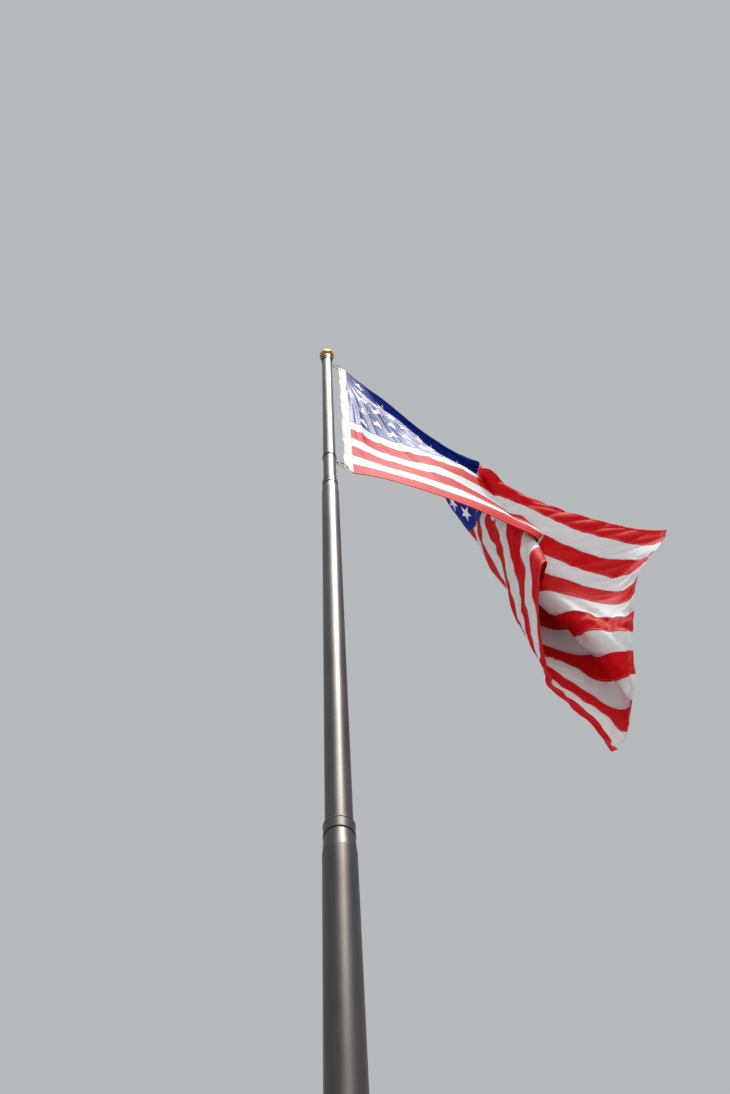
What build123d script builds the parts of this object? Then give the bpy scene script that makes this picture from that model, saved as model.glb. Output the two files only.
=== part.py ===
# Telescoping flagpole with a sewn flag on two swivel rings.
# Millimetres. The origin is on the ground at the pole's foot, +Z up, and +X points to the viewer's right.
import os
from math import atan2, cos, degrees, hypot, radians, sin

from build123d import *

os.makedirs("parts", exist_ok=True)

# Heights of the raised pole, measured from the ground to the top of each neck
base_top = 2200.0
third_top = 3590.0
second_top = 5700.0
tube_top = 7528.0

# Outside diameters of the four tubes, and their common wall
base_diameter = 88.9
third_diameter = 76.2
second_diameter = 63.5
top_diameter = 50.8
wall = 2.1

# How the tubes run in one another
running_gap = 0.3
fixed_gap = 0.1
tube_overlap = 170.0
neck_height = 38.0
shoulder_height = 60.0
neck_wall = 2.4
lip_height = 5.0
lip_depth = 0.9
bushing_height = 60.0
bushing_flange = 6.0
bushing_chamfer = 1.0

# Foot of the pole
plug_height = 18.0
plug_chamfer = 2.0
rim_height = 12.0
rim_width = 9.0
rim_round = 4.0

# Ball, spindle and cap
ball_diameter = 76.2
cap_skirt = 30.0
cap_wall = 2.2
cap_thickness = 5.0
cap_round = 2.0
spindle_across_corners = 20.0
spindle_height = 11.0
washer_diameter = 34.0
washer_height = 2.5
ball_seat_inset = 2.0

# Swivel rings, which turn loosely on the top tube
upper_ring_drop = 58.0
ring_gap = 0.8
ring_width = 2.6
ring_thickness = 4.4
lug_reach = 13.0
lug_thickness = 3.2
lug_hole_radius = 3.2
hoist_azimuth = 35.0

# Snap hooks between the rings and the grommets
wire_diameter = 4.4
seat_gap = 0.3
hook_width = 13.0
sleeve_length = 15.0
sleeve_diameter = 7.2

# Flag, as cut and sewn
hoist = 1524.0
fly = 2438.0
stripe_count = 13
union_stripes = 7
union_share = 0.4
cloth = 3.0
seam_gap = 1.0
fly_columns = 25
slope_step = 10.0
header_width = 45.0
header_thickness = 3.0
header_edge = 68.0
grommet_inset = 17.0
grommet_hole_radius = 5.0
grommet_rim_radius = 10.0
grommet_thickness = 5.4
grommet_chamfer = 0.8


def tube_bore(diameter):
    """Inside radius of a tube of this outside diameter."""
    return diameter / 2 - wall


def section_tube(inner_diameter, outer_diameter, foot, top):
    """A tube whose upper end is drawn in to a neck that guides the next, thinner tube."""
    neck_bore = inner_diameter / 2 + running_gap
    neck_radius = neck_bore + neck_wall
    shoulder_foot = top - neck_height - shoulder_height
    with BuildPart() as section:
        with BuildSketch(Plane.XZ):
            with BuildLine():
                Polyline(
                    (tube_bore(outer_diameter), foot),
                    (outer_diameter / 2, foot),
                    (outer_diameter / 2, shoulder_foot),
                    (neck_radius, top - neck_height),
                    (neck_radius, top),
                    (neck_bore, top),
                    (neck_bore, top - neck_height),
                    (tube_bore(outer_diameter), shoulder_foot),
                    close=True,
                )
            make_face()
        revolve(axis=Axis.Z)
    return section


def neck_band(inner_diameter, top):
    """The band over a neck, with a small rounded lip at each end."""
    band_bore = inner_diameter / 2 + running_gap + neck_wall + fixed_gap
    band_radius = band_bore + lip_depth
    with BuildPart() as band:
        with BuildSketch(Plane.XZ):
            with BuildLine():
                Polyline(
                    (band_bore, top - neck_height + fixed_gap),
                    (band_radius + lip_depth, top - neck_height + fixed_gap),
                    (band_radius + lip_depth, top - neck_height + lip_height),
                    (band_radius, top - neck_height + lip_height + lip_depth),
                    (band_radius, top - lip_height - lip_depth),
                    (band_radius + lip_depth, top - lip_height),
                    (band_radius + lip_depth, top),
                    (band_bore, top),
                    close=True,
                )
            make_face()
        revolve(axis=Axis.Z)
    return band


def guide_bushing(inner_diameter, outer_diameter, foot):
    """A bushing fixed on the foot of the inner tube, running in the bore of the outer one."""
    running_radius = tube_bore(outer_diameter) - running_gap
    with BuildPart() as bushing:
        with BuildSketch(Plane.XY.offset(foot)):
            Circle(running_radius)
            Circle(inner_diameter / 2 + fixed_gap, mode=Mode.SUBTRACT)
        extrude(amount=bushing_height)
        with BuildSketch(Plane.XY.offset(foot - bushing_flange)):
            Circle(running_radius)
            Circle(tube_bore(inner_diameter), mode=Mode.SUBTRACT)
        extrude(amount=bushing_flange - fixed_gap)
        with BuildSketch(Plane.XY.offset(foot - fixed_gap)):
            Circle(running_radius)
            Circle(inner_diameter / 2 + fixed_gap, mode=Mode.SUBTRACT)
        extrude(amount=fixed_gap)
        chamfer(bushing.edges().group_by(Axis.Z)[-1].sort_by(SortBy.RADIUS)[-1], length=bushing_chamfer)
    return bushing


def finish(part, name):
    """Name a piece and write its file."""
    part.label = name
    export_step(part, f"parts/{name}.step")


# Foot: a plug closes the base tube, and a rim frames it at ground level
with BuildPart() as base_plug:
    with BuildSketch(Plane.XY):
        Circle(tube_bore(base_diameter) - fixed_gap)
    extrude(amount=plug_height)
    chamfer(base_plug.faces().sort_by(Axis.Z)[-1].edges(), length=plug_chamfer)

with BuildPart() as ground_rim:
    with BuildSketch(Plane.XY):
        Circle(base_diameter / 2 + rim_width)
        Circle(base_diameter / 2 + fixed_gap, mode=Mode.SUBTRACT)
    extrude(amount=rim_height)
    rim_edge = ground_rim.faces().sort_by(Axis.Z)[-1].edges().sort_by(SortBy.RADIUS)[-1]
    fillet(rim_edge, radius=rim_round)

finish(base_plug.part, "base_plug")
finish(ground_rim.part, "ground_rim")

# The four tubes, their neck bands and the bushings that guide them
base_section = section_tube(third_diameter, base_diameter, 0.0, base_top)
third_section = section_tube(second_diameter, third_diameter, base_top - tube_overlap, third_top)
second_section = section_tube(top_diameter, second_diameter, third_top - tube_overlap, second_top)

with BuildPart() as top_section:
    with BuildSketch(Plane.XY.offset(second_top - tube_overlap)):
        Circle(top_diameter / 2)
        Circle(tube_bore(top_diameter), mode=Mode.SUBTRACT)
    extrude(amount=tube_top - second_top + tube_overlap)

finish(base_section.part, "base_section")
finish(third_section.part, "third_section")
finish(second_section.part, "second_section")
finish(top_section.part, "top_section")

finish(neck_band(third_diameter, base_top).part, "base_neck_band")
finish(neck_band(second_diameter, third_top).part, "third_neck_band")
finish(neck_band(top_diameter, second_top).part, "second_neck_band")

finish(guide_bushing(third_diameter, base_diameter, base_top - tube_overlap).part, "third_bushing")
finish(guide_bushing(second_diameter, third_diameter, third_top - tube_overlap).part, "second_bushing")
finish(guide_bushing(top_diameter, second_diameter, second_top - tube_overlap).part, "top_bushing")

# Cap on the top tube, with the spindle that carries the ball
cap_radius = top_diameter / 2 + fixed_gap + cap_wall
with BuildPart() as top_cap:
    with BuildSketch(Plane.XY.offset(tube_top + cap_thickness - cap_skirt)):
        Circle(cap_radius)
    extrude(amount=cap_skirt)
    with BuildSketch(Plane.XY.offset(tube_top + cap_thickness - cap_skirt)):
        Circle(top_diameter / 2 + fixed_gap)
    extrude(amount=cap_skirt - cap_thickness, mode=Mode.SUBTRACT)
    fillet(top_cap.edges().group_by(Axis.Z)[-1], radius=cap_round)

cap_top = tube_top + cap_thickness
with BuildPart() as ball_spindle:
    with BuildSketch(Plane.XY.offset(cap_top)):
        Circle(washer_diameter / 2)
    extrude(amount=washer_height)
    with BuildSketch(Plane.XY.offset(cap_top + washer_height)):
        RegularPolygon(spindle_across_corners / 2, 6)
    extrude(amount=spindle_height - washer_height)

# The ball is spun from two bowls and sits on the spindle by a small flat
ball_foot = cap_top + spindle_height
ball_radius = ball_diameter / 2
ball_flat_radius = washer_diameter / 2 - ball_seat_inset
ball_centre = ball_foot + (ball_radius**2 - ball_flat_radius**2) ** 0.5
with BuildPart() as ball_finial:
    with BuildSketch(Plane.XZ):
        with BuildLine():
            Line((0, ball_foot), (ball_flat_radius, ball_foot))
            ThreePointArc(
                (ball_flat_radius, ball_foot),
                (ball_radius, ball_centre),
                (0, ball_centre + ball_radius),
            )
            Line((0, ball_centre + ball_radius), (0, ball_foot))
        make_face()
    revolve(axis=Axis.Z)

finish(top_cap.part, "top_cap")
finish(ball_spindle.part, "ball_spindle")
finish(ball_finial.part, "ball_finial")

# Each swivel ring has a lug whose hole takes the snap hook
ring_bore = top_diameter / 2 + ring_gap
ring_radius = ring_bore + ring_width
lug_centre = ring_radius + lug_reach - lug_hole_radius * 2
grommet_reach = header_edge + grommet_inset
lead = Vector(1, 0, 0).rotate(Axis.Z, hoist_azimuth)
across = Vector(0, 1, 0).rotate(Axis.Z, hoist_azimuth)
upper_ring_height = tube_top - upper_ring_drop
lower_ring_height = upper_ring_height - hoist + 2 * grommet_inset
ring_heights = {"upper": upper_ring_height, "lower": lower_ring_height}


def hoist_plane(height):
    """A plane upright in the flag's direction at the hoist: its X leads away from the pole, its Y up."""
    return Plane(origin=(0, 0, height), x_dir=lead, z_dir=lead.cross(Vector(0, 0, 1)))


def crosswise_plane(height, reach, aside):
    """A plane square to the flag's direction at the hoist."""
    return Plane(origin=lead * reach + across * aside + Vector(0, 0, height), z_dir=lead)


def swivel_ring(height):
    """A thin ring round the tube with one lug."""
    with BuildPart() as ring:
        with BuildSketch(Plane.XY.offset(height - ring_thickness / 2)):
            Circle(ring_radius)
        extrude(amount=ring_thickness)
        with BuildSketch(hoist_plane(height)):
            with Locations((lug_centre, 0)):
                Circle(lug_hole_radius * 2)
            with Locations((lug_centre / 2, 0)):
                Rectangle(lug_centre, ring_thickness)
        extrude(amount=lug_thickness / 2, both=True)
        with BuildSketch(hoist_plane(height)):
            with Locations((lug_centre, 0)):
                Circle(lug_hole_radius)
        extrude(amount=lug_thickness, both=True, mode=Mode.SUBTRACT)
        with BuildSketch(Plane.XY.offset(height - ring_thickness * 2)):
            Circle(ring_bore)
        extrude(amount=ring_thickness * 4, mode=Mode.SUBTRACT)
    return ring


def snap_hook(height):
    """A closed wire loop from the ring's lug to the grommet, with a sleeve over its gate."""
    lug_inside = lug_centre + lug_hole_radius - wire_diameter / 2 - seat_gap
    grommet_inside = grommet_reach - grommet_hole_radius + wire_diameter / 2 + seat_gap
    half_width = hook_width / 2
    near_bend = lug_inside + half_width
    far_bend = grommet_inside - half_width
    with BuildPart() as hook:
        for aside in (-half_width, half_width):
            with BuildSketch(crosswise_plane(height, near_bend, aside)):
                Circle(wire_diameter / 2)
            extrude(amount=far_bend - near_bend)
        for bend, turn in ((near_bend, -180), (far_bend, 180)):
            with BuildSketch(crosswise_plane(height, bend, half_width)):
                Circle(wire_diameter / 2)
            revolve(axis=Axis(lead * bend + Vector(0, 0, height), (0, 0, -turn)), revolution_arc=180)
        with BuildSketch(crosswise_plane(height, (near_bend + far_bend) / 2, -half_width)):
            Circle(sleeve_diameter / 2)
        extrude(amount=sleeve_length / 2, both=True)
    return hook


def grommet(height):
    """A brass eyelet clinched through the header."""
    with BuildPart() as eyelet:
        with BuildSketch(hoist_plane(height)):
            with Locations((grommet_reach, 0)):
                Circle(grommet_rim_radius)
        extrude(amount=grommet_thickness / 2, both=True)
        with BuildSketch(hoist_plane(height)):
            with Locations((grommet_reach, 0)):
                Circle(grommet_hole_radius)
        extrude(amount=grommet_thickness, both=True, mode=Mode.SUBTRACT)
        chamfer(eyelet.edges().filter_by(GeomType.CIRCLE), length=grommet_chamfer)
    return eyelet


for place, height in ring_heights.items():
    finish(swivel_ring(height).part, f"{place}_swivel_ring")
    finish(snap_hook(height).part, f"{place}_snap_hook")
    finish(grommet(height).part, f"{place}_grommet")

# Header: a canvas band along the hoist, with the grommets near its ends
header_top = upper_ring_height + grommet_inset
with BuildPart() as flag_header:
    with BuildSketch(hoist_plane(header_top - hoist / 2)):
        with Locations((header_edge + header_width / 2, 0)):
            Rectangle(header_width, hoist)
        for height in ring_heights.values():
            with Locations((grommet_reach, height - header_top + hoist / 2)):
                Circle(grommet_rim_radius + fixed_gap, mode=Mode.SUBTRACT)
    extrude(amount=header_thickness / 2, both=True)
finish(flag_header.part, "flag_header")

# The cloth in a light wind. Each rib crosses the flat flag straight from its top hoist corner, so many degrees
# below the top edge. Its points tell where the cloth flies at the rib shares: how far to the right, away and
# up from that corner, in parts of the rib's own length.
rib_shares = (0, 0.3, 0.55, 0.8, 1)
ribs = {
    0: ((0.23, 0.19, -0.07), (0.24, 0.13, -0.29), (0.39, 0.18, -0.41), (0.59, 0.24, -0.47)),
    12: ((0.20, 0.22, -0.10), (0.28, 0.23, -0.32), (0.30, 0.23, -0.53), (0.47, 0.25, -0.64)),
    22: ((0.16, 0.21, -0.14), (0.28, 0.31, -0.34), (0.33, 0.29, -0.59), (0.39, 0.27, -0.77)),
    32: ((0.16, 0.17, -0.17), (0.21, 0.25, -0.37), (0.26, 0.28, -0.62), (0.29, 0.29, -0.80)),
    44: ((0.16, 0.13, -0.21), (0.28, 0.20, -0.36), (0.31, 0.21, -0.60), (0.31, 0.21, -0.79)),
    55: ((0.13, 0.09, -0.25), (0.27, 0.14, -0.44), (0.40, 0.24, -0.65), (0.43, 0.31, -0.82)),
    66: ((0.10, 0.06, -0.27), (0.18, 0.10, -0.50), (0.29, 0.15, -0.71), (0.36, 0.18, -0.89)),
    90: ((0, 0, -0.30), (0, 0, -0.55), (0, 0, -0.80), (0, 0, -1)),
}
hoist_corner = lead * (header_edge + header_width + seam_gap) + Vector(0, 0, header_top)


def rib_length(angle):
    """How far a rib runs across the flat flag before it meets the fly or the bottom edge."""
    to_fly = fly / max(cos(radians(angle)), 1e-6)
    to_bottom = hoist / max(sin(radians(angle)), 1e-6)
    return min(to_fly, to_bottom)


def smooth(marks, points, at):
    """A smooth curve through points that stand at these marks, read at one mark."""
    slopes = [(points[k + 1] - points[k]) * (1 / (marks[k + 1] - marks[k])) for k in range(len(marks) - 1)]
    tangents = [(before + after) * 0.5 for before, after in zip(slopes, slopes[1:])]
    tangents = [slopes[0] * 1.5 - tangents[0] * 0.5, *tangents, slopes[-1] * 1.5 - tangents[-1] * 0.5]
    first = max(k for k in range(len(marks) - 1) if k == 0 or marks[k] < at)
    span = marks[first + 1] - marks[first]
    share = (at - marks[first]) / span
    ease = share * share * (3 - 2 * share)
    leave = share * (1 - share) ** 2 * span
    arrive = share * share * (share - 1) * span
    ends = points[first] * (1 - ease) + points[first + 1] * ease
    return ends + tangents[first] * leave + tangents[first + 1] * arrive


def flown(out, down):
    """Where a point of the flat flag flies that is so far out along the fly and so far down the hoist."""
    reach = hypot(out, down)
    angle = degrees(atan2(down, out)) if reach else 0
    share = reach / rib_length(angle)
    crossings = [
        smooth(rib_shares, [Vector(), *(Vector(*point) * rib_length(rib) for point in points)], share)
        for rib, points in ribs.items()
    ]
    return hoist_corner + smooth(list(ribs), crossings, angle)


def cloth_normal(out, down):
    """The direction square to the cloth at a point of the flat flag."""
    along = flown(min(out + slope_step, fly), down) - flown(max(out - slope_step, 0), down)
    below = flown(out, min(down + slope_step, hoist)) - flown(out, max(down - slope_step, 0))
    return along.cross(below).normalized()


def cloth_piece(outs, downs):
    """The thin solid of a piece cut from the flat flag, with facets between these lines, as it flies."""
    sides = [
        [[flown(out, down) + cloth_normal(out, down) * half for down in downs] for out in outs]
        for half in (-cloth / 2, cloth / 2)
    ]
    last_out = len(outs) - 1
    last_down = len(downs) - 1
    patches = [
        (side[i][j], side[i + 1][j], side[i + 1][j + 1], side[i][j + 1])
        for side in sides for i in range(last_out) for j in range(last_down)
    ]
    for j in (0, last_down):
        patches += [(sides[0][i][j], sides[0][i + 1][j], sides[1][i + 1][j], sides[1][i][j]) for i in range(last_out)]
    for i in (0, last_out):
        patches += [(sides[0][i][j], sides[0][i][j + 1], sides[1][i][j + 1], sides[1][i][j]) for j in range(last_down)]
    facets = []
    for a, b, c, d in patches:
        facets.append(Face(Wire.make_polygon((a, b, c))))
        facets.append(Face(Wire.make_polygon((a, c, d))))
    return Solid(Shell(facets))


def lines(start, end, count):
    """Even lines over one side of a cut piece, which stops short of the next piece at its seam."""
    ends = [start + (end - start) * line / count for line in range(count)]
    return [*ends, end - seam_gap]


stripe = hoist / stripe_count
union_fly = fly * union_share
union_columns = round(fly_columns * union_share)
union_outs = lines(0, union_fly, union_columns)
free_outs = lines(union_fly, fly, fly_columns - union_columns)

with BuildPart() as flag_union:
    add(cloth_piece(union_outs, lines(0, stripe * union_stripes, union_stripes)))
finish(flag_union.part, "flag_union")

for number in range(1, stripe_count + 1):
    outs = free_outs if number <= union_stripes else [*union_outs[:-1], *free_outs]
    with BuildPart() as flag_stripe:
        add(cloth_piece(outs, lines(stripe * (number - 1), stripe * number, 1)))
    finish(flag_stripe.part, f"flag_stripe_{number:02d}")
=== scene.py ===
from math import cos, hypot, pi, radians, sin

import bmesh
import bpy
import numpy as np
from mathutils import Matrix, Vector


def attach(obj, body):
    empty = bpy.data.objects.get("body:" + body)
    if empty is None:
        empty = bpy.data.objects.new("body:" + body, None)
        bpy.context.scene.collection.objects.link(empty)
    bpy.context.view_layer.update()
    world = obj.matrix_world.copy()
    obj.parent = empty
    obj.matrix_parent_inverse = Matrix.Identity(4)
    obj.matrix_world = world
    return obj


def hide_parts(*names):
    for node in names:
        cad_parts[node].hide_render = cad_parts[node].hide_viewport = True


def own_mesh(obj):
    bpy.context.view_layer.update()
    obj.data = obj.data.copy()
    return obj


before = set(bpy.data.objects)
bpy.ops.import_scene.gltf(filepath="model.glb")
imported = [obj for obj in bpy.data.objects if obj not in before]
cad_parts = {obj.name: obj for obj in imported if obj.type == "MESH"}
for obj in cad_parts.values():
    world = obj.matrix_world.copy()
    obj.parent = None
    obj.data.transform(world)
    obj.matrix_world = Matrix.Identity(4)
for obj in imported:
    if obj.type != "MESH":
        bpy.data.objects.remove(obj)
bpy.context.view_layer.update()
print("frame loaded,", len(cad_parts), "nodes")

scene = bpy.context.scene


def linkObject(obj):
    scene.collection.objects.link(obj)
    return obj


def meshObject(name, points, faces, smooth=True, edges=()):
    mesh = bpy.data.meshes.new(name)
    mesh.from_pydata([tuple(map(float, p)) for p in points], edges, faces)
    mesh.validate()
    if smooth:
        mesh.shade_smooth()
    return linkObject(bpy.data.objects.new(name, mesh))


def meshPoints(obj):
    points = np.empty(len(obj.data.vertices) * 3)
    obj.data.vertices.foreach_get("co", points)
    return points.reshape(-1, 3), [tuple(face.vertices) for face in obj.data.polygons]


def plainMesh(obj):
    # turns an object with live modifiers into a plain mesh
    bpy.context.view_layer.update()
    graph = bpy.context.evaluated_depsgraph_get()
    mesh = bpy.data.meshes.new_from_object(obj.evaluated_get(graph))
    obj.modifiers.clear()
    obj.data = mesh
    return obj


def setMaterial(obj, material):
    obj.data.materials.clear()
    obj.data.materials.append(material)


def newMaterial(name):
    material = bpy.data.materials.new(name)
    material.use_nodes = True
    tree = material.node_tree
    tree.nodes.clear()
    output = tree.nodes.new("ShaderNodeOutputMaterial")
    shader = tree.nodes.new("ShaderNodeBsdfPrincipled")
    tree.links.new(shader.outputs["BSDF"], output.inputs["Surface"])
    return material, tree, shader


def addNode(tree, kind, settings=None, **inputs):
    # inputs go by socket name, or as i0, i1 and so on by number: a value is set, a socket is linked
    node = tree.nodes.new(kind)
    for key, value in (settings or {}).items():
        setattr(node, key, value)
    for key, value in inputs.items():
        socket = node.inputs[int(key[1:])] if key[0] == "i" and key[1:].isdigit() else node.inputs[key]
        if isinstance(value, bpy.types.NodeSocket):
            tree.links.new(value, socket)
        else:
            socket.default_value = value
    return node


def calc(tree, operation, *values):
    inputs = {f"i{k}": value for k, value in enumerate(values)}
    return addNode(tree, "ShaderNodeMath", {"operation": operation}, **inputs).outputs[0]


def noise(tree, place, scale, detail, **more):
    return addNode(tree, "ShaderNodeTexNoise", Vector=place, Scale=scale, Detail=detail, **more).outputs["Fac"]


def colorRamp(tree, factor, stops):
    ramp = addNode(tree, "ShaderNodeValToRGB", Fac=factor)
    elements = ramp.color_ramp.elements
    while len(elements) < len(stops):
        elements.new(0.5)
    for element, (place, color) in zip(elements, stops):
        element.position = place
        element.color = (*color, 1)
    return ramp.outputs["Color"]


def valueRange(tree, value, low, high):
    node = addNode(tree, "ShaderNodeMapRange", Value=value)
    node.inputs["To Min"].default_value = low
    node.inputs["To Max"].default_value = high
    return node.outputs["Result"]


def objectPlace(tree, scale):
    place = addNode(tree, "ShaderNodeTexCoord").outputs["Object"]
    return addNode(tree, "ShaderNodeMapping", Vector=place, Scale=scale).outputs["Vector"]


def addBump(tree, shader, height, strength, distance):
    bump = addNode(tree, "ShaderNodeBump", Height=height, Strength=strength, Distance=distance)
    tree.links.new(bump.outputs["Normal"], shader.inputs["Normal"])


metalValues = {
    "bronzeDark": (0.078, 0.072, 0.068),
    "bronzePale": (0.128, 0.119, 0.112),
    "bronzeRoughness": (0.34, 0.44),
    "bronzeEdge": (0.85, 0.85, 0.86),  # how much of the surroundings the tubes' edges mirror
    "drawLines": 420.0,                # fine lines along the tubes, per metre across
    "goldDeep": (0.44, 0.17, 0.035),
    "goldBright": (0.66, 0.31, 0.07),
    "goldRoughness": (0.10, 0.20),
    "goldRings": 900.0,                # spinning marks per metre of height
    # small fittings: dark and pale colour, range of roughness, metallic share, grains per metre
    "steel": ((0.24, 0.24, 0.235), (0.44, 0.44, 0.43), (0.20, 0.36), 1.0, 900),
    "ring": ((0.012, 0.012, 0.013), (0.03, 0.03, 0.032), (0.35, 0.5), 0.3, 700),
    "brass": ((0.46, 0.31, 0.11), (0.72, 0.54, 0.24), (0.22, 0.4), 1.0, 800),
    "bushing": ((0.018, 0.018, 0.018), (0.035, 0.035, 0.035), (0.45, 0.6), 0.0, 400),
}


def drawnMetal(name):
    # tube stock: fine lines along Z, faint clouds and a few rubbed spots
    material, tree, shader = newMaterial(name)
    lines = metalValues["drawLines"]
    streaks = noise(tree, objectPlace(tree, (lines, lines, 1.2)), 1.0, 4.0)
    clouds = noise(tree, objectPlace(tree, (3, 3, 1.1)), 3.0, 5.0)
    rubbed = noise(tree, objectPlace(tree, (30, 30, 9)), 1.0, 8.0)
    mixed = calc(tree, "MULTIPLY_ADD", streaks, 0.35, clouds)
    color = colorRamp(tree, mixed, [(0.45, metalValues["bronzeDark"]), (0.85, metalValues["bronzePale"])])
    tree.links.new(color, shader.inputs["Base Color"])
    tree.links.new(valueRange(tree, rubbed, *metalValues["bronzeRoughness"]), shader.inputs["Roughness"])
    shader.inputs["Metallic"].default_value = 1.0
    shader.inputs["Specular Tint"].default_value = (*metalValues["bronzeEdge"], 1)
    addBump(tree, shader, streaks, 0.10, 0.0004)
    return material


def goldMetal(name):
    # a spun bowl: rings round Z in the finish, and a warm, uneven colour
    material, tree, shader = newMaterial(name)
    place = addNode(tree, "ShaderNodeTexCoord").outputs["Object"]
    height = addNode(tree, "ShaderNodeSeparateXYZ", Vector=place).outputs["Z"]
    rings = addNode(tree, "ShaderNodeTexNoise", {"noise_dimensions": "1D"}, W=height,
                    Scale=metalValues["goldRings"], Detail=3.0).outputs["Fac"]
    clouds = noise(tree, place, 22.0, 5.0)
    color = colorRamp(tree, clouds, [(0.3, metalValues["goldDeep"]), (0.7, metalValues["goldBright"])])
    tree.links.new(color, shader.inputs["Base Color"])
    tree.links.new(valueRange(tree, clouds, *metalValues["goldRoughness"]), shader.inputs["Roughness"])
    shader.inputs["Metallic"].default_value = 1.0
    addBump(tree, shader, rings, 0.08, 0.0002)
    return material


def pittedMetal(name, dark, pale, roughness, metallic, grain):
    # small castings, wire, stampings and mouldings
    material, tree, shader = newMaterial(name)
    fine = noise(tree, objectPlace(tree, (grain, grain, grain)), 1.0, 6.0)
    wear = noise(tree, objectPlace(tree, (60, 60, 60)), 1.0, 4.0)
    tree.links.new(colorRamp(tree, wear, [(0.35, dark), (0.7, pale)]), shader.inputs["Base Color"])
    tree.links.new(valueRange(tree, fine, *roughness), shader.inputs["Roughness"])
    shader.inputs["Metallic"].default_value = metallic
    addBump(tree, shader, fine, 0.2, 0.0002)
    return material


darkBronze = drawnMetal("darkBronze")
goldAnodised = goldMetal("goldAnodised")
brightSteel = pittedMetal("brightSteel", *metalValues["steel"])
blackRing = pittedMetal("blackRing", *metalValues["ring"])
grommetBrass = pittedMetal("grommetBrass", *metalValues["brass"])
bushingNylon = pittedMetal("bushingNylon", *metalValues["bushing"])

nodeFinishes = {
    darkBronze: ["base_plug", "ground_rim", "base_section", "base_neck_band", "third_section",
                 "third_neck_band", "second_section", "second_neck_band", "top_section", "top_cap"],
    bushingNylon: ["third_bushing", "second_bushing", "top_bushing"],
    brightSteel: ["ball_spindle", "upper_snap_hook", "lower_snap_hook"],
    goldAnodised: ["ball_finial"],
    blackRing: ["upper_swivel_ring", "lower_swivel_ring"],
    grommetBrass: ["upper_grommet", "lower_grommet"],
}
for material, names in nodeFinishes.items():
    for name in names:
        setMaterial(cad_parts[name], material)
print("metal finishes set")


flagValues = {
    "hoist": 1.524,
    "fly": 2.438,
    "stripes": 13,
    "unionStripes": 7,
    "unionShare": 0.4,
    "hoistCorner": (0.0926, 0.0648, 7.487),
    "hoistAzimuth": 35.0,
    "coarseCells": (50, 26),   # along the fly and down the hoist, halved three times in all
    # the cloth solver runs on the coarse grid and once more on a finer one, with these values for each
    "settleRounds": (60, 25),
    "cagePull": (0.35, 0.2),   # how hard the cage holds the cloth
    # stiffness: cells between two points, strength, and the share of their flat distance that they keep
    "stiffness": (((2, 0.3, 0.985), (4, 0.25, 0.96)), ((2, 0.3, 0.985), (4, 0.2, 0.95))),
    "threadRepeats": 3,
    "threadHold": 0.95,        # how hard the threads hold their length
    "biasHold": 0.4,           # how hard the cloth holds its diagonals
    "seenFrom": (0.1112, -1.6, 1.50),
    "farStart": 0.80,          # beyond this y the folds are drawn in towards the eye
    "farDraw": 0.52,           # share of the further depth that is taken away
    "farEase": 0.12,           # metres over which that sets in
    "tautRounds": 70,          # smoothing of the cloth that the wind holds taut
    "tautTo": 1.25,            # metres from the hoist
    "tautFade": 0.5,
    "tuckAt": (1.187, 1.213),  # out and down to where the inner fold is tucked back behind the front one
    "tuckReach": (0.063, 0.070),
    "tuckBy": (-0.0055, 0.0115, -0.0034),
    # the cage that the wind-blown cloth hangs in: one row of points from the top edge to the bottom edge for
    # each step from hoist to fly, in centimetres right, away and up from the top hoist corner
    "cage": (
        ((0, 0, 0), (0, 0, -10), (0, 0, -31), (0, 0, -61), (0, 0, -91), (0, 0, -122), (0, 0, -142), (0, 0, -152)),
        ((7, 8, 0), (6, 6, -10), (10, 3, -31), (5, 6, -63), (6, 6, -93), (4, 5, -122), (9, 4, -141), (9, 2, -151)),
        ((23, 18, -2), (14, 29, -12), (24, 14, -30), (24, 14, -58), (22, 17, -88), (30, 16, -122), (26, 9, -143),
         (28, 11, -154)),
        ((42, 39, -7), (25, 46, -17), (43, 37, -32), (40, 28, -62), (47, 18, -94), (43, 20, -118), (50, 24, -139),
         (49, 21, -146)),
        ((66, 50, -20), (67, 65, -14), (33, 73, -45), (53, 47, -62), (78, 43, -77), (74, 52, -122), (79, 31, -138),
         (77, 40, -154)),
        ((64, 43, -46), (75, 38, -55), (67, 89, -47), (57, 76, -79), (48, 42, -102), (81, 50, -106), (75, 60, -126),
         (76, 47, -121)),
        ((59, 33, -71), (54, 52, -72), (95, 46, -82), (62, 103, -94), (70, 69, -121), (56, 23, -139), (82, 36, -144),
         (79, 82, -149)),
        ((57, 25, -97), (61, 26, -105), (37, 55, -107), (110, 75, -115), (51, 98, -137), (75, 82, -165),
         (66, 18, -160), (71, 13, -169)),
        ((91, 49, -95), (93, 47, -104), (72, 42, -133), (53, 66, -148), (119, 96, -152), (40, 78, -182),
         (76, 82, -195), (65, 71, -203)),
        ((116, 52, -107), (97, 50, -120), (120, 77, -120), (74, 49, -170), (85, 80, -181), (115, 104, -192),
         (58, 68, -213), (70, 72, -217)),
        ((130, 56, -113), (133, 60, -120), (110, 57, -148), (113, 75, -161), (84, 53, -203), (107, 98, -218),
         (83, 79, -235), (87, 79, -239)),
        ((138, 54, -118), (134, 56, -127), (123, 52, -142), (109, 57, -171), (102, 68, -199), (101, 81, -219),
         (81, 89, -248), (85, 77, -247)),
    ),
}
hoist, fly = flagValues["hoist"], flagValues["fly"]
stripeWidth = hoist / flagValues["stripes"]
unionFly, unionHoist = fly * flagValues["unionShare"], stripeWidth * flagValues["unionStripes"]
hoistTop = np.array(flagValues["hoistCorner"])
azimuth = radians(flagValues["hoistAzimuth"])
hoistAlong, hoistAcross = np.array([cos(azimuth), sin(azimuth), 0]), np.array([-sin(azimuth), cos(azimuth), 0])
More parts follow.
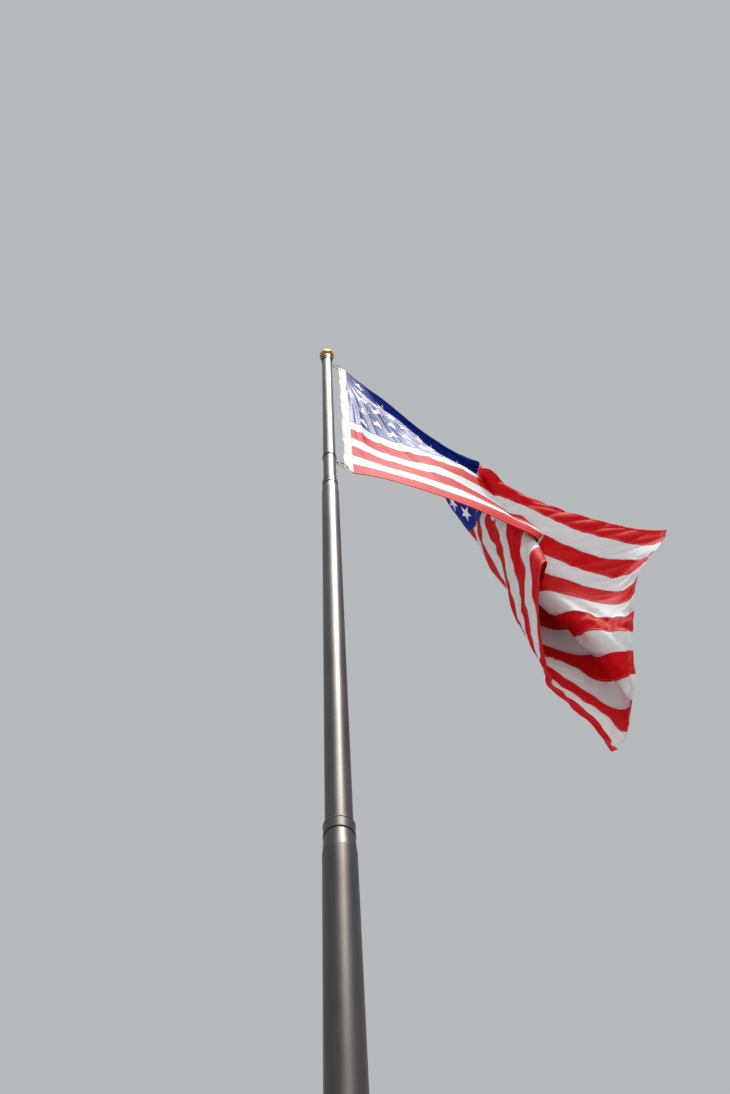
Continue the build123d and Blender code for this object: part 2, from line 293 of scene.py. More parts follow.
upward = np.array([0, 0, 1.0])


def cageShares(count, at):
    # how much each cage point weighs at this share of the way: a smooth curve that meets both ends
    knots = np.concatenate([[0] * 3, np.linspace(0, 1, count - 2), [1] * 3])
    at = min(max(at, 0.0), 1 - 1e-9)
    shares = np.zeros(len(knots) - 1)
    shares[np.searchsorted(knots, at, side="right") - 1] = 1
    for degree in (1, 2, 3):
        for k in range(len(knots) - 1 - degree):
            rising, falling = knots[k + degree] - knots[k], knots[k + degree + 1] - knots[k + 1]
            before = (at - knots[k]) / rising * shares[k] if rising > 0 else 0
            after = (knots[k + degree + 1] - at) / falling * shares[k + 1] if falling > 0 else 0
            shares[k] = before + after
    return shares[:count]


def cageSurface(outs, downs):
    cage = np.array(flagValues["cage"]) / 100
    along = np.array([cageShares(cage.shape[0], out / fly) for out in outs])
    across = np.array([cageShares(cage.shape[1], down / hoist) for down in downs])
    return hoistTop + np.einsum("in,jm,nmc->ijc", along, across, cage)


def gridLines(form):
    return np.linspace(0, fly, form.shape[0]), np.linspace(0, hoist, form.shape[1])


def pullPair(form, first, second, length, strength, onlyShort=False):
    # moves two sets of grid points towards their real distance
    apart = form[second] - form[first]
    size = np.maximum(np.sqrt((apart ** 2).sum(-1, keepdims=True)), 1e-9)
    off = (size - length) / size * strength
    if onlyShort:
        off = np.minimum(off, 0)
    form[first] += 0.5 * off * apart
    form[second] -= 0.5 * off * apart


def pairSlices(count, reach):
    # index sets for pairs that lie so far apart along one side, none sharing a point
    for start in range(2 * reach):
        first = np.arange(start, count - reach, 2 * reach)
        if len(first):
            yield first, first + reach


def settleCloth(form, rounds, bends, pull):
    # keeps the cloth at its woven size and free of sharp creases while the cage holds it
    outs, downs = gridLines(form)
    cage = cageSurface(outs, downs)
    hoistLine = hoistTop - upward * downs[:, None]
    step, drop = outs[1] - outs[0], downs[1] - downs[0]
    lines = np.arange(len(outs)), np.arange(len(downs))
    leftOf, rightOf = lines[1][:-1], lines[1][1:]

    def pullApart(reach, share, strength, onlyShort=False):
        for first, second in pairSlices(len(outs), reach):
            pullPair(form, np.ix_(first, lines[1]), np.ix_(second, lines[1]), reach * step * share, strength,
                     onlyShort)
        for first, second in pairSlices(len(downs), reach):
            pullPair(form, np.ix_(lines[0], first), np.ix_(lines[0], second), reach * drop * share, strength,
                     onlyShort)

    for turn in range(rounds):
        form += (cage - form) * pull * (1 - turn / rounds)
        for reach, strength, keep in bends:
            pullApart(reach, keep, strength, True)
        for repeat in range(flagValues["threadRepeats"]):
            pullApart(1, 1, flagValues["threadHold"])
            for first, second in pairSlices(len(outs), 1):
                for near, far in ((leftOf, rightOf), (rightOf, leftOf)):
                    pullPair(form, np.ix_(first, near), np.ix_(second, far), hypot(step, drop),
                             flagValues["biasHold"])
            form[0] = hoistLine
    return form


def finer(form):
    # twice the cells each way
    def between(grid):
        padded = np.concatenate([2 * grid[:1] - grid[1:2], grid, 2 * grid[-1:] - grid[-2:-1]])
        middle = (-padded[:-3] + 9 * padded[1:-2] + 9 * padded[2:-1] - padded[3:]) / 16
        out = np.zeros((2 * len(grid) - 1, *grid.shape[1:]))
        out[::2], out[1::2] = grid, middle
        return out
    return between(between(form).swapaxes(0, 1)).swapaxes(0, 1)


def rise(value, start, over):
    return np.clip((value - start) / over, 0, 1)


def fall(value, end, over):
    return np.clip((end - value) / over, 0, 1)


columns, rows = flagValues["coarseCells"]
coarse, fine = zip(flagValues["settleRounds"], flagValues["stiffness"], flagValues["cagePull"])
form = settleCloth(cageSurface(np.linspace(0, fly, columns + 1), np.linspace(0, hoist, rows + 1)), *coarse)
form = finer(finer(settleCloth(finer(form), *fine)))
outs, downs = gridLines(form)

past = np.clip(form[..., 1:2] - flagValues["farStart"], 0, None)
sight = form - np.array(flagValues["seenFrom"])
form -= sight / sight[..., 1:2] * flagValues["farDraw"] * past ** 2 / (past + flagValues["farEase"])

taut = fall(outs, flagValues["tautTo"], flagValues["tautFade"])[:, None, None]
for turn in range(flagValues["tautRounds"]):
    for axis in (0, 1):
        line = form.swapaxes(0, axis)
        even = line.copy()
        even[1:-1] = (line[:-2] + 2 * line[1:-1] + line[2:]) / 4
        form += (even.swapaxes(0, axis) - form) * taut


wrinkleValues = {
    "fanDepth": 0.0045,            # of the tension creases that fan out from the top hoist corner
    "fanPerRadian": (13, 23, 41),
    "fanFull": 0.45,               # metres from the corner where they reach their depth
    "fanEnd": (2.0, 1.0),          # where they end, and over what length they fade
    "creaseDepth": 0.007,          # of the few sharp creases among them
    "creasePerRadian": (9, 13, 21),
    "creaseStart": (0.15, 0.3),
    "creaseEnd": (1.4, 0.5),
    "looseFrom": (0.7, 0.9),       # metres from the hoist where the cloth comes loose
    "rippleDepth": 0.0035,         # of the cross ripples in the loose part
    "rippleWaves": ((9, 17), (-14, 14)),     # radians per metre out and down, drawn between these
    "crinkleDepth": 0.0060,        # of the short slanting creases in the loose part
    "crinkleWaves": ((22, 40), (26, 46)),
    "seed": 4,
}


def unit(vectors):
    return vectors / np.maximum(np.linalg.norm(vectors, axis=-1, keepdims=True), 1e-12)


def clothNormals(form):
    return unit(np.cross(np.gradient(form, axis=0), np.gradient(form, axis=1)))


def wrinkles(out, down):
    # how far each place of the flat cloth is lifted by fine creases; the numbers inside the sines bend the
    # waves so that they don't run evenly
    random = np.random.default_rng(wrinkleValues["seed"])
    angle, reach = np.arctan2(down, out + 0.02), np.hypot(out, down)

    def phases(count):
        return random.uniform(0, 6.28, count)

    def waves(name, count):
        outWaves, downWaves = wrinkleValues[name]
        return zip(random.uniform(*outWaves, count), random.uniform(*downWaves, count), phases(count))

    fan = sum(np.sin(count * angle + phase + 0.6 * np.sin(2.1 * reach + phase)) / (k + 1.3)
              for k, (count, phase) in enumerate(zip(wrinkleValues["fanPerRadian"], phases(3))))
    fan *= rise(reach, 0, wrinkleValues["fanFull"]) ** 1.5 * fall(reach, *wrinkleValues["fanEnd"])
    loose = rise(out, *wrinkleValues["looseFrom"])
    ripple = sum(np.sin(a * out + b * down + phase) for a, b, phase in waves("rippleWaves", 4)) / 2
    crease = sum((1 - np.abs(np.sin(count * angle + phase + 0.3 * np.sin(5 * reach + 2 * phase)))) ** 5
                 for count, phase in zip(wrinkleValues["creasePerRadian"], phases(3)))
    crease *= rise(reach, *wrinkleValues["creaseStart"]) * fall(reach, *wrinkleValues["creaseEnd"])
    crinkle = sum((1 - np.abs(np.sin((a * out + b * down + 0.9 * np.sin(3 * out + 4 * down + phase)) / 2))) ** 3
                  * np.clip(np.sin(2.7 * out - 5 * down + 3 * phase) + 0.2, 0, 1)
                  for a, b, phase in waves("crinkleWaves", 3))
    return (wrinkleValues["fanDepth"] * fan - wrinkleValues["creaseDepth"] * crease
            + (wrinkleValues["crinkleDepth"] * crinkle + wrinkleValues["rippleDepth"] * ripple) * loose)


form += clothNormals(form) * wrinkles(outs[:, None], downs[None, :])[..., None]
tuckOut, tuckDown = ((place - at) / reach for place, at, reach
                     in zip((outs[:, None], downs[None, :]), flagValues["tuckAt"], flagValues["tuckReach"]))
form += np.exp(-tuckOut ** 2 - tuckDown ** 2)[..., None] * np.array(flagValues["tuckBy"])
clothFace = clothNormals(form)
print("flag settled on", form.shape[:2], "points, mean stretch",
      round(float(np.linalg.norm(np.diff(form, axis=0), axis=-1).mean() / (outs[1] - outs[0])), 4))


def readGrid(grid, flat):
    # a value of the cloth's grid at places given as (out, down) in metres
    x = np.clip(flat[:, 0] / fly * (len(outs) - 1), 0, len(outs) - 1.0001)
    y = np.clip(flat[:, 1] / hoist * (len(downs) - 1), 0, len(downs) - 1.0001)
    i, j = x.astype(int), y.astype(int)
    a, b = (x - i)[:, None], (y - j)[:, None]
    return ((1 - a) * (1 - b) * grid[i, j] + a * (1 - b) * grid[i + 1, j] + (1 - a) * b * grid[i, j + 1]
            + a * b * grid[i + 1, j + 1])


def onCloth(flat):
    # takes points of flat cloth, (out, down, lift), to where the flag flies
    flat = np.asarray(flat, float)
    place = readGrid(form, flat) + unit(readGrid(clothFace, flat)) * flat[:, 2:3]
    return place + hoistAlong * np.minimum(flat[:, :1], 0)      # what is sewn into the header


clothValues = {
    "nylonThreads": 2600.0,        # per metre
    "nylonGlow": 0.22,             # share of light that passes the nylon
    "nylonRoughness": (0.62, 0.74),
    "unionRoughness": (0.50, 0.60),
    # each cloth has a dark and a pale colour: the dark one is partly painted shade in the crease hollows, the rest
    # is the uneven threads' own tone
    "red": ((0.60, 0.002, 0.006), (0.76, 0.006, 0.012)),
    "white": ((0.78, 0.78, 0.80), (0.86, 0.86, 0.87)),
    "blue": ((0.001, 0.016, 0.210), (0.003, 0.030, 0.330)),
    "canvas": ((0.74, 0.73, 0.69), (0.84, 0.83, 0.79)),
    "canvasThreads": 1100.0,
    "canvasRoughness": (0.7, 0.85),
    "star": ((0.80, 0.80, 0.81), (0.90, 0.90, 0.90)),
    "starThreads": 1500.0,
    "starRoughness": (0.5, 0.62),
    "gloss": 0.12,
    "creaseScale": 24.0,           # fine creases per metre
    "slubScale": (40, 900, 1),     # uneven threads per metre, long along the fly
    "toneStops": (0.45, 0.95),     # where the dark and the pale tone are reached
    "bump": 0.25,
}


def wovenCloth(name, colors, threads, glow, roughness):
    # the piece's own UV map is the flat cloth in metres: weave, faint creases and the colour follow it; the colour
    # follows the uneven threads and is painted darker in the creases' hollows, which is painted shade
    material, tree, shader = newMaterial(name)
    flat = addNode(tree, "ShaderNodeUVMap", {"uv_map": "flat"}).outputs["UV"]
    axes = addNode(tree, "ShaderNodeSeparateXYZ", Vector=flat)
    strands = []
    for axis in ("X", "Y"):
        turned = calc(tree, "MULTIPLY", axes.outputs[axis], threads * pi)
        strands.append(calc(tree, "ABSOLUTE", calc(tree, "SINE", turned)))
    weave = calc(tree, "MAXIMUM", *strands)
    creases = noise(tree, flat, clothValues["creaseScale"], 7.0, Distortion=1.0)
    slubPlace = addNode(tree, "ShaderNodeMapping", Vector=flat, Scale=clothValues["slubScale"]).outputs["Vector"]
    slubs = noise(tree, slubPlace, 1.0, 3.0)
    # colour: the uneven threads' own tone, plus painted shade that darkens the hollows of the crease bump and paints
    # its ridges paler
    tone = calc(tree, "MULTIPLY_ADD", slubs, 0.4, creases)
    color = colorRamp(tree, tone, list(zip(clothValues["toneStops"], colors)))
    tree.links.new(color, shader.inputs["Base Color"])
    tree.links.new(valueRange(tree, creases, *roughness), shader.inputs["Roughness"])
    shader.inputs["Specular IOR Level"].default_value = clothValues["gloss"]
    addBump(tree, shader, calc(tree, "MULTIPLY_ADD", weave, 0.05, creases), clothValues["bump"], 0.002)
    if glow:
        through = addNode(tree, "ShaderNodeBsdfTranslucent", Color=color)
        mix = addNode(tree, "ShaderNodeMixShader", Fac=glow, i1=shader.outputs["BSDF"],
                      i2=through.outputs["BSDF"])
        output = next(n for n in tree.nodes if n.bl_idname == "ShaderNodeOutputMaterial")
        tree.links.new(mix.outputs["Shader"], output.inputs["Surface"])
    return material


nylon = clothValues["nylonThreads"], clothValues["nylonGlow"]
redCloth = wovenCloth("redCloth", clothValues["red"], *nylon, clothValues["nylonRoughness"])
whiteCloth = wovenCloth("whiteCloth", clothValues["white"], *nylon, clothValues["nylonRoughness"])
blueCloth = wovenCloth("blueCloth", clothValues["blue"], *nylon, clothValues["unionRoughness"])
headerCanvas = wovenCloth("headerCanvas", clothValues["canvas"], clothValues["canvasThreads"], 0.0,
                          clothValues["canvasRoughness"])
starThread = wovenCloth("starThread", clothValues["star"], clothValues["starThreads"], 0.0,
                        clothValues["starRoughness"])


def threadMaterial(name, color):
    material, tree, shader = newMaterial(name)
    twist = addNode(tree, "ShaderNodeTexWave", Vector=objectPlace(tree, (1, 1, 1)), Scale=1400.0,
                    Distortion=2.0).outputs["Fac"]
    # the thread is painted darker, to 0.7 of its colour, in the grooves of the twist bump: painted shade
    tree.links.new(colorRamp(tree, twist, [(0.0, tuple(0.7 * c for c in color)), (1.0, color)]),
                   shader.inputs["Base Color"])
    shader.inputs["Roughness"].default_value = 0.55
    addBump(tree, shader, twist, 0.3, 0.0002)
    return material


whiteThread = threadMaterial("whiteThread", (0.86, 0.86, 0.84))
blueThread = threadMaterial("blueThread", (0.015, 0.04, 0.24))


sewValues = {
    "clothThickness": 0.0006,
    "clothStep": 0.0062,               # cell size that lets the cloth follow the folds
    "seamWidth": 0.011,
    "seamThickness": 0.0016,
    "seamRows": (-0.3, 0.3),           # stitch rows, in seam widths from the seam
    "hemWidth": 0.014,
    "hemRow": 0.8,                     # in hem widths from the edge
    "flyHemWidth": 0.024,
    "flyHemRows": (0.1, 0.35, 0.62, 0.9),
    "hemThickness": 0.0019,
    "intoHeader": 0.006,
    "stitchPitch": 0.008,
    "stitchLength": 0.0055,
    "stitchWidth": 0.0008,
    "starDiameter": 0.094,
    "starNotch": 0.382,                # inner corners, as a share of the outer ones
    "starGrid": (11, 9),               # crossings along the fly and down the hoist, every other one used
    "starSpacing": (0.08125, 0.0820),
    "starLift": 0.0011,
    # the star's rounded border: share of its size and of its lift
    "starRings": ((1.0, 0.3), (0.975, 0.85), (0.93, 1.0), (0.87, 0.95), (0.83, 0.72), (0.45, 0.72)),
}


def flatSlab(start, end, top, bottom, thickness, step=sewValues["clothStep"]):
    # a closed slab of flat cloth between these lines, cut finely enough to follow the folds
    columns = max(int(round((end - start) / step)), 1)
    rows = max(int(round((bottom - top) / step)), 1)
    across, down = np.linspace(start, end, columns + 1), np.linspace(top, bottom, rows + 1)
    layers = [np.array([(x, y, lift) for x in across for y in down]) for lift in (-thickness / 2, thickness / 2)]
    width, count = rows + 1, (columns + 1) * (rows + 1)
    faces = []
    for i in range(columns):
        for j in range(rows):
            a = i * width + j
            faces.append((a, a + 1, a + width + 1, a + width))
            faces.append((count + a, count + a + width, count + a + width + 1, count + a + 1))
    rim = ([i * width for i in range(columns)] + [columns * width + j for j in range(rows)]
           + [i * width + rows for i in range(columns, 0, -1)] + [j for j in range(rows, 0, -1)])
    for a, b in zip(rim, rim[1:] + rim[:1]):
        faces.append((a, b, count + b, count + a))
    return np.concatenate(layers), faces


def joinParts(parts):
    points, faces, start = [], [], 0
    for partPoints, partFaces in parts:
        points.append(partPoints)
        faces += [tuple(start + k for k in face) for face in partFaces]
        start += len(partPoints)
    return np.concatenate(points), faces


def fixFaces(obj):
    # merges doubled points and turns every closed shell's faces outwards
    work = bmesh.new()
    work.from_mesh(obj.data)
    bmesh.ops.remove_doubles(work, verts=work.verts, dist=1e-6)
    bmesh.ops.recalc_face_normals(work, faces=work.faces)
    work.to_mesh(obj.data)
    work.free()


def sewnPiece(name, flatPoints, faces, material, slotName, place=onCloth):
    # wraps a flat pattern on to the flying cloth and keeps the flat pattern as its UV map, in metres
    obj = meshObject(name, place(flatPoints), faces)
    layer = obj.data.uv_layers.new(name="flat")
    corners = np.empty(len(obj.data.loops), np.int32)
    obj.data.loops.foreach_get("vertex_index", corners)
    layer.data.foreach_set("uv", np.asarray(flatPoints, np.float32)[corners][:, :2].ravel())
    setMaterial(obj, material)
    fixFaces(obj)
    return obj


def flies(obj, *nodes):
    # rides on the upper ring and gathers with the rest of the flag as the pole comes down
    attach(obj, "upper_swivel")
    if nodes:
        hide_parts(*nodes)
    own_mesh(obj)


def newTree(name, **inputs):
    # a geometry tree with these named inputs beside its geometry
    tree = bpy.data.node_groups.new(name, "GeometryNodeTree")
    face = tree.interface
    face.new_socket("Geometry", in_out="INPUT", socket_type="NodeSocketGeometry")
    for key, kind in inputs.items():
        face.new_socket(key, in_out="INPUT", socket_type="NodeSocket" + kind)
    face.new_socket("Geometry", in_out="OUTPUT", socket_type="NodeSocketGeometry")
    return tree, tree.nodes.new("NodeGroupInput").outputs


def endTree(tree, instances, material):
    real = addNode(tree, "GeometryNodeRealizeInstances", Geometry=instances).outputs["Geometry"]
    thread = addNode(tree, "GeometryNodeSetMaterial", Geometry=real, Material=material).outputs["Geometry"]
    tree.links.new(thread, tree.nodes.new("NodeGroupOutput").inputs["Geometry"])
    return tree


def stitchTree():
    # stitches laid along the edges of a flat mesh
    tree, inputs = newTree("stitchRows", Pitch="Float", Length="Float", Width="Float", Thread="Material")
    curve = addNode(tree, "GeometryNodeMeshToCurve", Mesh=inputs["Geometry"]).outputs["Curve"]
    evenly = addNode(tree, "GeometryNodeResampleCurve", {"mode": "LENGTH"}, Curve=curve, Length=inputs["Pitch"])
    tangent = tree.nodes.new("GeometryNodeInputTangent").outputs["Tangent"]
    turned = addNode(tree, "FunctionNodeAlignRotationToVector", {"axis": "X"}, Vector=tangent).outputs["Rotation"]
    bead = addNode(tree, "GeometryNodeMeshUVSphere", Segments=5, Rings=3, Radius=0.5).outputs["Mesh"]
    lying = addNode(tree, "GeometryNodeTransform", Geometry=bead, Rotation=(0, pi / 2, 0)).outputs["Geometry"]
    size = addNode(tree, "ShaderNodeCombineXYZ", X=inputs["Length"], Y=inputs["Width"], Z=inputs["Width"])
    spread = addNode(tree, "GeometryNodeInstanceOnPoints", Points=evenly.outputs["Curve"], Instance=lying,
                     Rotation=turned, Scale=size.outputs["Vector"]).outputs["Instances"]
    return endTree(tree, spread, inputs["Thread"])


def starTree():
    # a field of stars on every other crossing of a flat grid
    tree, inputs = newTree("starField", Columns="Int", Rows="Int", Width="Float", Height="Float",
                           Thread="Material")
    grid = tree.nodes.new("GeometryNodeMeshGrid")
    for socket, name in (("Size X", "Width"), ("Size Y", "Height"), ("Vertices X", "Columns"),
                         ("Vertices Y", "Rows")):
        tree.links.new(inputs[name], grid.inputs[socket])
    index = tree.nodes.new("GeometryNodeInputIndex").outputs["Index"]
    everyOther = calc(tree, "LESS_THAN", calc(tree, "MODULO", index, 2.0), 0.5)
    spread = addNode(tree, "GeometryNodeInstanceOnPoints", Points=grid.outputs["Mesh"], Selection=everyOther,
                     Instance=inputs["Geometry"]).outputs["Instances"]
    return endTree(tree, spread, inputs["Thread"])


def runTree(obj, tree, values):
    # runs a node tree on an object with these named inputs and leaves a plain mesh
    modifier = obj.modifiers.new(tree.name, "NODES")
    modifier.node_group = tree
    for item in tree.interface.items_tree:
        if item.item_type == "SOCKET" and item.in_out == "INPUT" and item.name in values:
            modifier[item.identifier] = values[item.name]
    return plainMesh(obj)


stitchRows = stitchTree()


def sewStitches(name, rows, lift, thread, slotName, place=onCloth):
    # rows are flat lines, ((out, down), (out, down)); each is sewn on both faces
    points, edges = [], []
    for first, last in rows:
        for height in (lift, -lift):
            edges.append((len(points), len(points) + 1))
            points += [(*first, height), (*last, height)]
    lines = meshObject(name, points, [], edges=edges)
    runTree(lines, stitchRows, {"Pitch": sewValues["stitchPitch"], "Length": sewValues["stitchLength"],
                                "Width": sewValues["stitchWidth"], "Thread": thread})
    flat, faces = meshPoints(lines)
    bpy.data.objects.remove(lines)
    return sewnPiece(name, flat, faces, thread, slotName, place)


clothThickness, into = sewValues["clothThickness"], sewValues["intoHeader"]
hemWidth, flyHemWidth, hemThickness = sewValues["hemWidth"], sewValues["flyHemWidth"], sewValues["hemThickness"]
seamWidth, seamThickness = sewValues["seamWidth"], sewValues["seamThickness"]
seamAside = [share * seamWidth for share in sewValues["seamRows"]]
hemAside = sewValues["hemRow"] * hemWidth


def rowOut(start, end, down):
    return (start, down), (end, down)


def rowDown(out, top, bottom):
    return (out, top), (out, bottom)


for number in range(1, flagValues["stripes"] + 1):
    start = unionFly if number <= flagValues["unionStripes"] else -into
    top, bottom = (number - 1) * stripeWidth, number * stripeWidth
    cloth, slotName = (redCloth, "red_cloth") if number % 2 else (whiteCloth, "white_cloth")
    parts = [flatSlab(start, fly, top, bottom, clothThickness),
             flatSlab(fly - flyHemWidth, fly, top, bottom, hemThickness)]
    stitches = [rowDown(fly - flyHemWidth * share, top, bottom) for share in sewValues["flyHemRows"]]
    if number < flagValues["stripes"]:
        parts.append(flatSlab(start, fly, bottom - seamWidth / 2, bottom + seamWidth / 2, seamThickness))
        stitches += [rowOut(start, fly, bottom + aside) for aside in seamAside]
    else:
        parts.append(flatSlab(start, fly, bottom - hemWidth, bottom, hemThickness))
        stitches.append(rowOut(start, fly, bottom - hemAside))
    if number == 1:
        parts.append(flatSlab(start, fly, 0, hemWidth, hemThickness))
        stitches.append(rowOut(start, fly, hemAside))
    panel = sewnPiece(f"flagStripe{number:02d}", *joinParts(parts), cloth, slotName)
    thread = sewStitches(f"stripeStitches{number:02d}", stitches, seamThickness / 2, whiteThread, "white_cloth")
    flies(panel, f"flag_stripe_{number:02d}")
    flies(thread)
print("stripes sewn")


def starMesh():
    # one sewn star, lying flat, with a raised rounded border
    radius, lift, rings = sewValues["starDiameter"] / 2, sewValues["starLift"], sewValues["starRings"]
    corners = []
    for k in range(10):
        reach = radius if k % 2 == 0 else radius * sewValues["starNotch"]
        corners.append(np.array((sin(k * pi / 5), -cos(k * pi / 5))) * reach)
    outline = [corner * (1 - share) + following * share
               for corner, following in zip(corners, corners[1:] + corners[:1]) for share in (0, 0.34, 0.67)]
    points, faces = [], []
    for scale, height in rings:
        points += [(*(p * scale), lift * height) for p in outline]
    count = len(outline)
    for ring in range(len(rings) - 1):
        for k in range(count):
            a, b = ring * count + k, ring * count + (k + 1) % count
            faces.append((a, b, b + count, a + count))
    points += [(0, 0, lift * rings[-1][1]), (0, 0, 0)]
    inner = (len(rings) - 1) * count
    for k in range(count):
        faces.append((inner + k, inner + (k + 1) % count, len(points) - 2))
        faces.append(((k + 1) % count, k, len(points) - 1))
    return meshObject("starPattern", points, faces)


(starColumns, starRows), (starOut, starDown) = sewValues["starGrid"], sewValues["starSpacing"]
stars = runTree(starMesh(), starTree(), {"Columns": starColumns, "Rows": starRows,
                                         "Width": (starColumns - 1) * starOut,
                                         "Height": (starRows - 1) * starDown, "Thread": starThread})
starPoints, starFaces = meshPoints(stars)
bpy.data.objects.remove(stars)
starPoints += (unionFly / 2, unionHoist / 2, 0)
backPoints = starPoints * (1, 1, -1)
flagStars = sewnPiece("flagStars", *joinParts([(starPoints, starFaces), (backPoints, starFaces)]), starThread,
                      "white_cloth")
flies(flagStars)

unionParts = [flatSlab(-into, unionFly, 0, unionHoist, clothThickness),
              flatSlab(-into, unionFly, 0, hemWidth, hemThickness),
              flatSlab(-into, unionFly, unionHoist - seamWidth / 2, unionHoist + seamWidth / 2, seamThickness),
              flatSlab(unionFly - seamWidth / 2, unionFly + seamWidth / 2, 0, unionHoist, seamThickness * 1.1)]
flagUnion = sewnPiece("flagUnion", *joinParts(unionParts), blueCloth, "blue_cloth")
unionRows = [rowOut(-into, unionFly, hemAside)]
unionRows += [rowOut(-into, unionFly, unionHoist + aside) for aside in seamAside]
unionRows += [rowDown(unionFly + aside, 0, unionHoist) for aside in seamAside]
unionStitches = sewStitches("unionStitches", unionRows, seamThickness / 2, blueThread, "blue_cloth")
flies(flagUnion, "flag_union")
flies(unionStitches)
print("union and stars sewn")


headerValues = {
    "width": 0.045,
    "thickness": 0.0030,
    "clothStep": 0.005,
    "grommetInset": 0.017,
    "grommetHole": 0.0085,
    "waves": 7,                # slack bays of the edge between the grommets
    "waveDepth": 0.0045,
    "swings": ((1, 1, 0), (0.55, 1.73, 1.1), (0.3, 3.1, 0.4)),     # depth, rate and phase of each wave
    "slackFrom": 0.12,         # metres from a grommet to where the edge is fully slack
    # stitch rows, in metres from the folded edge, from the flag's cloth and from the two ends
    "foldRows": (0.004, 0.0088),
    "foldRowStart": 0.03,
    "clothRows": (0.012, 0.003),
    "endRow": 0.004,
    "sideInset": 0.003,
}
headerWidth = headerValues["width"]


def onHeader(flat):
    # flat header cloth: (distance from the cloth's edge, distance from the top, lift)
    flat = np.asarray(flat, float)
    reach = np.clip(-flat[:, 0] / headerWidth, 0, 1)
    near = np.minimum(flat[:, 1], hoist - flat[:, 1]) - headerValues["grommetInset"]
    loose = rise(near, 0, headerValues["slackFrom"])
    slack = loose ** 2 * (3 - 2 * loose)
    turn = np.clip(flat[:, 1] / hoist, 0, 1) * headerValues["waves"] * 2 * pi
    swing = sum(depth * np.sin(rate * turn + phase) for depth, rate, phase in headerValues["swings"]) / 1.4
    pullIn = (0.5 + 0.5 * np.cos(turn * 0.5 + 0.7)) * slack * headerValues["waveDepth"]
    place = hoistTop + hoistAlong * (flat[:, :1] + (pullIn * reach)[:, None])
    place -= upward * flat[:, 1:2]
    return place + hoistAcross * (flat[:, 2] + swing * slack * reach ** 1.5 * headerValues["waveDepth"])[:, None]


def flatHeader():
    # the doubled canvas band with a hole under each grommet, still flat
    inset = headerValues["grommetInset"]
    points, faces = flatSlab(-headerWidth, 0.0, 0, hoist, headerValues["thickness"], headerValues["clothStep"])
    band = meshObject("headerBand", points, faces, smooth=False)
    fixFaces(band)
    cutters = []
    for down in (inset, hoist - inset):
        bpy.ops.mesh.primitive_cylinder_add(vertices=40, radius=headerValues["grommetHole"], depth=0.02,
                                            location=(-headerWidth + inset, down, 0))
        cutter = bpy.context.object
        cut = band.modifiers.new("hole", "BOOLEAN")
        cut.object, cut.solver = cutter, "EXACT"
        cutters.append(cutter)
    plainMesh(band)
    points, faces = meshPoints(band)
    for obj in [band, *cutters]:
        bpy.data.objects.remove(obj)
    return points, faces


foldStart, endRow, sideInset = headerValues["foldRowStart"], headerValues["endRow"], headerValues["sideInset"]
header = sewnPiece("flagHeader", *flatHeader(), headerCanvas, "header_canvas", onHeader)
headerRows = [rowDown(across - headerWidth, foldStart, hoist - foldStart) for across in headerValues["foldRows"]]
headerRows += [rowDown(-across, endRow, hoist - endRow) for across in headerValues["clothRows"]]
headerRows += [rowOut(sideInset - headerWidth, -sideInset, down) for down in (endRow, hoist - endRow)]
headerStitches = sewStitches("headerStitches", headerRows, headerValues["thickness"] / 2, whiteThread,
                             "header_canvas", onHeader)
flies(header, "flag_header")
flies(headerStitches)
print("header sewn")


studioValues = {
    "lens": 38.5,
    "cameraPlace": (0.1112, -1.6, 1.50),
    "pitch": 65.87,
    "roll": 5.14,
    "backdrop": (0.84, 0.87, 0.90),
    "backdropStrength": 0.56,
    "softboxPower": 450.0,
    "softboxColor": (1.0, 0.98, 0.95),
    "softboxPlace": (0.9, -3.8, 13.5),
    "softboxAim": (0.5, -1.0, 6.0),
    "softboxSize": (3.0, 9.0),
    "sunStrength": 3.4,
    "sunColor": (1.0, 0.97, 0.92),
    "sunFrom": (0.20, -0.24, 0.95),
    "sunAngle": 4,
    "floorColors": ((0.56, 0.56, 0.55), (0.60, 0.60, 0.59)),
    "floorRings": ((4, 0), (9, 0), (13.9, 0), (14, -0.05)),   # radius and height, with a soft rounded rim
}


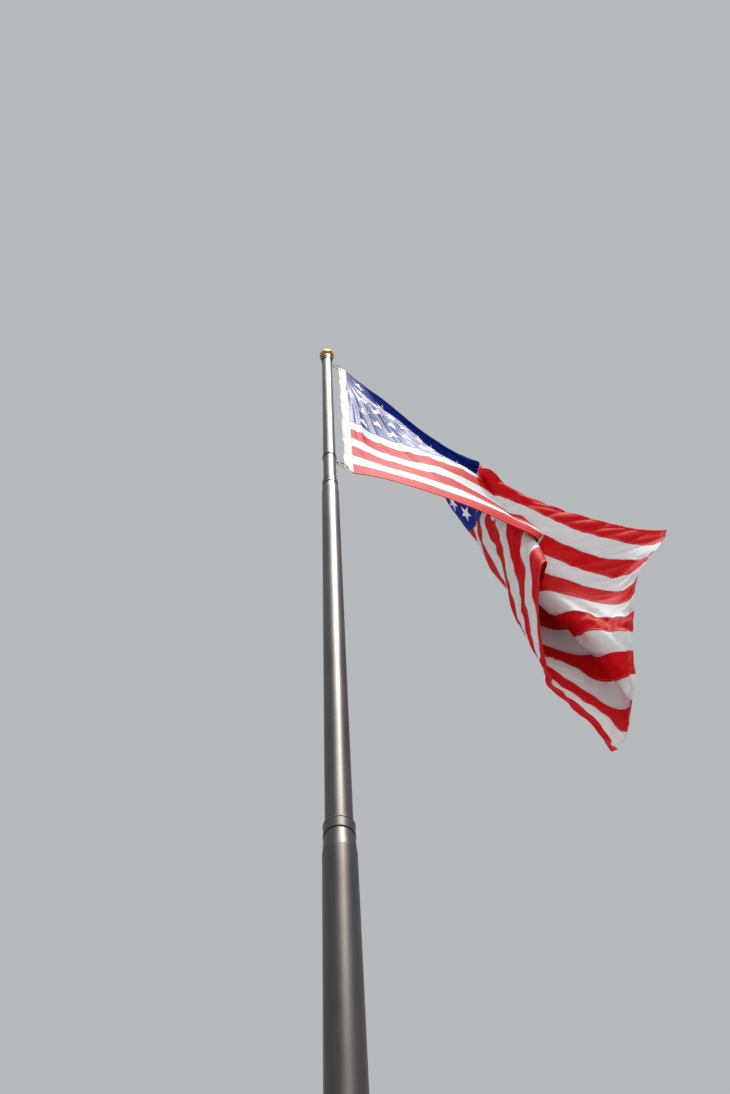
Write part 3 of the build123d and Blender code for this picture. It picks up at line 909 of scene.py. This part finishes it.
def studioCamera():
    pitch, roll = radians(studioValues["pitch"]), radians(studioValues["roll"])
    forward = Vector((0, cos(pitch), sin(pitch)))
    up = Vector((0, -sin(pitch), cos(pitch)))
    right = Vector((1, 0, 0))
    data = bpy.data.cameras.new("photoCamera")
    data.lens = studioValues["lens"]
    data.clip_end = 200
    camera = linkObject(bpy.data.objects.new("photoCamera", data))
    axes = Matrix((right * cos(roll) - up * sin(roll), right * sin(roll) + up * cos(roll), -forward)).transposed()
    camera.matrix_world = Matrix.Translation(studioValues["cameraPlace"]) @ axes.to_4x4()
    scene.camera = camera


def studioLight(name, kind, strength, color, aim, **settings):
    data = bpy.data.lights.new(name, kind)
    data.energy, data.color = strength, color
    for key, value in settings.items():
        setattr(data, key, value)
    light = linkObject(bpy.data.objects.new(name, data))
    light.rotation_euler = Vector(aim).to_track_quat("-Z", "Y").to_euler()
    return light


def studioFloor():
    # a wide pale disc
    points, faces, count = [(0, 0, 0)], [], 96
    for ring, (reach, height) in enumerate(studioValues["floorRings"]):
        points += [(reach * cos(2 * pi * k / count), reach * sin(2 * pi * k / count), height)
                   for k in range(count)]
        for k in range(count):
            a, b = 1 + ring * count + k, 1 + ring * count + (k + 1) % count
            faces.append((0, a, b) if ring == 0 else (a - count, a, b, b - count))
    floor = meshObject("studioFloor", points, faces)
    material, tree, shader = newMaterial("paleFloor")
    speckle = noise(tree, objectPlace(tree, (3, 3, 3)), 2.0, 4.0)
    tree.links.new(colorRamp(tree, speckle, list(zip((0.3, 0.7), studioValues["floorColors"]))),
                   shader.inputs["Base Color"])
    shader.inputs["Roughness"].default_value = 0.8
    setMaterial(floor, material)


studioCamera()
studioFloor()
softboxPlace, (softboxWidth, softboxLength) = studioValues["softboxPlace"], studioValues["softboxSize"]
softbox = studioLight("overheadSoftbox", "AREA", studioValues["softboxPower"], studioValues["softboxColor"],
                      Vector(studioValues["softboxAim"]) - Vector(softboxPlace), shape="RECTANGLE",
                      size=softboxWidth, size_y=softboxLength)
softbox.location = softboxPlace
studioLight("softSun", "SUN", studioValues["sunStrength"], studioValues["sunColor"],
            -Vector(studioValues["sunFrom"]), angle=radians(studioValues["sunAngle"]))
world = bpy.data.worlds.new("studioBackdrop")
world.use_nodes = True
world.node_tree.nodes["Background"].inputs["Color"].default_value = (*studioValues["backdrop"], 1)
world.node_tree.nodes["Background"].inputs["Strength"].default_value = studioValues["backdropStrength"]
scene.world = world
scene.view_settings.view_transform = "Standard"   # keeps the nylon's full colours

print("scene ready")
